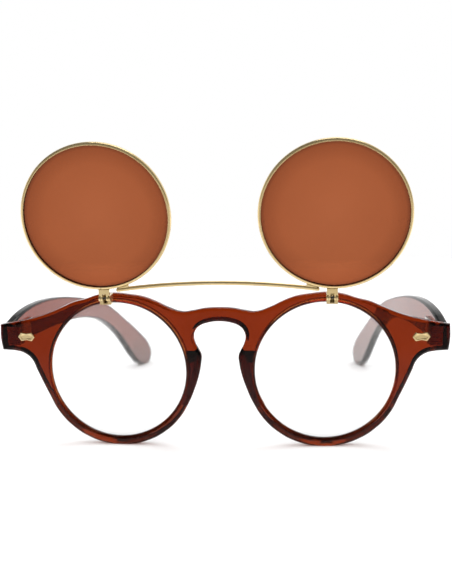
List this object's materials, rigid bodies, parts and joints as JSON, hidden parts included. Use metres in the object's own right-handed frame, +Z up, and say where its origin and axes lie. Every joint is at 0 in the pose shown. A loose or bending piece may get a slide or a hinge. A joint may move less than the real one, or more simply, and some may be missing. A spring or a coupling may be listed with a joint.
{
  "type": "flip-up spectacles",
  "caption": "Round brown plastic spectacles with a keyhole bridge, folding temples and a hinged gold wire front of round sun lenses that flips up over the brow.",
  "frame": {"origin": "on the table plane, below the middle of the object's bounding box", "axes": "+Z up; -Y is the way the wearer looks, so +X is the wearer's left; the temples run back along +Y"},
  "size_m": [0.144, 0.18, 0.0959],
  "materials": {
    "brown_plastic": "translucent cognac brown, polished",
    "gold": "pale gold plating, polished",
    "steel": "plain metal",
    "clear_lens": "clear, polished",
    "sun_lens": "brown tint, polished"
  },
  "bodies": {
    "front": {"frame_front": "brown_plastic", "clear_lens_left": "clear_lens", "clear_lens_right": "clear_lens", "rivet_plaque_left": "gold", "rivet_plaque_right": "gold", "nose_pad_left": "brown_plastic", "nose_pad_right": "brown_plastic", "front_hinge_leaf_left": "steel", "front_hinge_leaf_right": "steel", "temple_hinge_screw_left": "steel", "temple_hinge_screw_right": "steel", "flip_hinge_base_left": "gold", "flip_hinge_base_right": "gold", "flip_base_screw_left": "gold", "flip_base_screw_right": "gold", "flip_hinge_pin_left": "steel", "flip_hinge_pin_right": "steel"},
    "flip_front": {"flip_rim_left": "gold", "flip_rim_right": "gold", "sun_lens_left": "sun_lens", "sun_lens_right": "sun_lens", "flip_bridge_bar": "gold", "bar_lug_left": "gold", "bar_lug_right": "gold", "flip_hinge_leaf_left": "gold", "flip_hinge_leaf_right": "gold"},
    "left_temple": {"temple_left": "brown_plastic", "temple_hinge_leaf_left": "steel"},
    "right_temple": {"temple_right": "brown_plastic", "temple_hinge_leaf_right": "steel"}
  },
  "joints": [
    {"name": "flip", "type": "hinge", "parent": "front", "child": "flip_front", "pos_m": [0, -0.07743, 0.04844], "axis": [1, 0, 0], "range_deg": [-8.6, 171.4]},
    {"name": "left_temple_fold", "type": "hinge", "parent": "front", "child": "left_temple", "pos_m": [0.0664, -0.06206, 0.03537], "axis": [0, -0.0924, 0.9957], "range_deg": [0, 85]},
    {"name": "right_temple_fold", "type": "hinge", "parent": "front", "child": "right_temple", "pos_m": [-0.0664, -0.06206, 0.03537], "axis": [0, 0.0924, -0.9957], "range_deg": [0, 81]}
  ]
}
